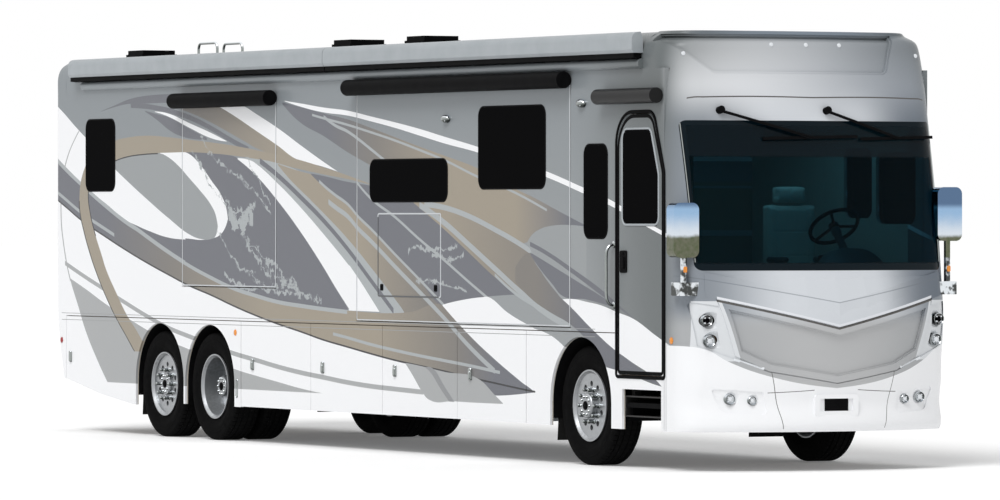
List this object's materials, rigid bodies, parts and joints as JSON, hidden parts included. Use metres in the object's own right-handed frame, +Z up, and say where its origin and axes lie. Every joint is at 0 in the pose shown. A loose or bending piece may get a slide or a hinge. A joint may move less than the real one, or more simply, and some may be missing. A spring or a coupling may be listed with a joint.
{
  "type": "motorhome",
  "caption": "Long bus-bodied motorhome with a tag axle, slide-out rooms, luggage doors, an entry door with a sliding step and steered front wheels.",
  "frame": {"origin": "on the floor below the middle of the bounding box", "axes": "+X forward along the length, +Y to the vehicle's left, +Z up"},
  "size_m": [13.7708, 2.8726, 3.9189],
  "materials": {
    "body_paint": "satin",
    "white_paint": "gloss",
    "silver_paint": "gloss",
    "awning_silver": "satin",
    "black_plastic": "satin",
    "chrome": "mirror",
    "alloy": "polished",
    "steel_black": "satin",
    "cast": "rough",
    "tyre": "matte",
    "dark_glass": "gloss",
    "clear_glass": "gloss",
    "lamp_glass": "gloss",
    "trim": "matte",
    "floor_board": "matte",
    "seat_cover": "matte"
  },
  "bodies": {
    "body": {"chassis_frame": "steel_black", "basement": "awning_silver", "floor": "floor_board", "engine": "cast", "axles": "cast", "side_wall_right": "body_paint", "side_wall_left": "body_paint", "skirts": "white_paint", "wheel_tubs": "black_plastic", "roof": "silver_paint", "rear_cap": "body_paint", "front_cap": "silver_paint", "front_bumper": "white_paint", "grille": "silver_paint", "windshield": "clear_glass", "window_glass": "dark_glass", "awnings": "awning_silver", "lamps": "lamp_glass", "wipers": "black_plastic", "mirrors": "chrome", "dashboard": "trim", "steering_wheel": "black_plastic", "seats": "seat_cover", "roof_vents": "black_plastic", "ladder": "chrome"},
    "entry_door": {"entry_door": "body_paint", "entry_door_glass": "dark_glass"},
    "entry_step": {"entry_step": "black_plastic"},
    "bay_door_right_1": {"bay_door_right_1": "white_paint"},
    "bay_door_right_2": {"bay_door_right_2": "white_paint"},
    "bay_door_right_3": {"bay_door_right_3": "white_paint"},
    "bay_door_right_4": {"bay_door_right_4": "white_paint"},
    "bay_door_left_1": {"bay_door_left_1": "white_paint"},
    "bay_door_left_2": {"bay_door_left_2": "white_paint"},
    "bay_door_left_3": {"bay_door_left_3": "white_paint"},
    "bay_door_left_4": {"bay_door_left_4": "white_paint"},
    "engine_door": {"engine_door": "body_paint"},
    "slide_right_front": {"slide_right_front": "body_paint", "slide_right_front_glass": "dark_glass", "slide_right_front_topper": "black_plastic"},
    "slide_right_rear": {"slide_right_rear": "body_paint", "slide_right_rear_topper": "black_plastic"},
    "slide_left": {"slide_left": "body_paint", "slide_left_glass": "dark_glass", "slide_left_topper": "black_plastic"},
    "knuckle_right": {"knuckle_right": "cast"},
    "wheel_front_right": {"rim_front_right": "alloy", "tyre_front_right": "tyre"},
    "wheel_drive_right": {"rim_drive_right": "alloy", "tyre_drive_right": "tyre"},
    "wheel_tag_right": {"rim_tag_right": "alloy", "tyre_tag_right": "tyre"},
    "knuckle_left": {"knuckle_left": "cast"},
    "wheel_front_left": {"rim_front_left": "alloy", "tyre_front_left": "tyre"},
    "wheel_drive_left": {"rim_drive_left": "alloy", "tyre_drive_left": "tyre"},
    "wheel_tag_left": {"rim_tag_left": "alloy", "tyre_tag_left": "tyre"}
  },
  "joints": [
    {"name": "entry_door_hinge", "type": "hinge", "parent": "body", "child": "entry_door", "pos_m": [6.1395, -1.2825, 1.8], "axis": [0, 0, 1], "range_deg": [0, 90]},
    {"name": "entry_step_slide", "type": "slide", "parent": "body", "child": "entry_step", "axis": [0, -1, 0], "range_m": [0, 0.28]},
    {"name": "bay_door_right_1_hinge", "type": "hinge", "parent": "body", "child": "bay_door_right_1", "pos_m": [-0.7825, -1.2825, 0.74], "axis": [0, 0, 1], "range_deg": [0, 90]},
    {"name": "bay_door_right_2_hinge", "type": "hinge", "parent": "body", "child": "bay_door_right_2", "pos_m": [0.7375, -1.2825, 0.74], "axis": [0, 0, 1], "range_deg": [0, 90]},
    {"name": "bay_door_right_3_hinge", "type": "hinge", "parent": "body", "child": "bay_door_right_3", "pos_m": [2.2575, -1.2825, 0.74], "axis": [0, 0, 1], "range_deg": [0, 90]},
    {"name": "bay_door_right_4_hinge", "type": "hinge", "parent": "body", "child": "bay_door_right_4", "pos_m": [3.6015, -1.2825, 0.74], "axis": [0, 0, 1], "range_deg": [0, 90]},
    {"name": "bay_door_left_1_hinge", "type": "hinge", "parent": "body", "child": "bay_door_left_1", "pos_m": [-0.7825, 1.2825, 0.74], "axis": [0, 0, -1], "range_deg": [0, 90]},
    {"name": "bay_door_left_2_hinge", "type": "hinge", "parent": "body", "child": "bay_door_left_2", "pos_m": [0.7375, 1.2825, 0.74], "axis": [0, 0, -1], "range_deg": [0, 90]},
    {"name": "bay_door_left_3_hinge", "type": "hinge", "parent": "body", "child": "bay_door_left_3", "pos_m": [2.2575, 1.2825, 0.74], "axis": [0, 0, -1], "range_deg": [0, 90]},
    {"name": "bay_door_left_4_hinge", "type": "hinge", "parent": "body", "child": "bay_door_left_4", "pos_m": [3.6015, 1.2825, 0.74], "axis": [0, 0, -1], "range_deg": [0, 90]},
    {"name": "engine_door_hinge", "type": "hinge", "parent": "body", "child": "engine_door", "pos_m": [-6.8115, 0, 1.65], "axis": [0, 1, 0], "range_deg": [0, 80]},
    {"name": "slide_right_front_slide", "type": "slide", "parent": "body", "child": "slide_right_front", "axis": [0, -1, 0], "range_m": [0, 0.6]},
    {"name": "slide_right_rear_slide", "type": "slide", "parent": "body", "child": "slide_right_rear", "axis": [0, -1, 0], "range_m": [0, 0.6]},
    {"name": "slide_left_slide", "type": "slide", "parent": "body", "child": "slide_left", "axis": [0, 1, 0], "range_m": [0, 0.6]},
    {"name": "steer_right", "type": "hinge", "parent": "body", "child": "knuckle_right", "pos_m": [4.6315, -1.0685, 0.515], "axis": [0, 0, 1], "range_deg": [-45, 45]},
    {"name": "steer_left", "type": "hinge", "parent": "body", "child": "knuckle_left", "pos_m": [4.6315, 1.0685, 0.515], "axis": [0, 0, 1], "range_deg": [-45, 45]},
    {"name": "spin_front_right", "type": "hinge", "parent": "knuckle_right", "child": "wheel_front_right", "pos_m": [4.6315, -1.0685, 0.515], "axis": [0, 1, 0], "continuous": true},
    {"name": "spin_drive_right", "type": "hinge", "parent": "body", "child": "wheel_drive_right", "pos_m": [-3.0385, -1, 0.515], "axis": [0, 1, 0], "continuous": true},
    {"name": "spin_tag_right", "type": "hinge", "parent": "body", "child": "wheel_tag_right", "pos_m": [-4.2085, -1, 0.515], "axis": [0, 1, 0], "continuous": true},
    {"name": "spin_front_left", "type": "hinge", "parent": "knuckle_left", "child": "wheel_front_left", "pos_m": [4.6315, 1.0685, 0.515], "axis": [0, 1, 0], "continuous": true},
    {"name": "spin_drive_left", "type": "hinge", "parent": "body", "child": "wheel_drive_left", "pos_m": [-3.0385, 1, 0.515], "axis": [0, 1, 0], "continuous": true},
    {"name": "spin_tag_left", "type": "hinge", "parent": "body", "child": "wheel_tag_left", "pos_m": [-4.2085, 1, 0.515], "axis": [0, 1, 0], "continuous": true}
  ],
  "couplings": [
    {"joint": "steer_left", "follows": "steer_right", "ratio": 1}
  ]
}
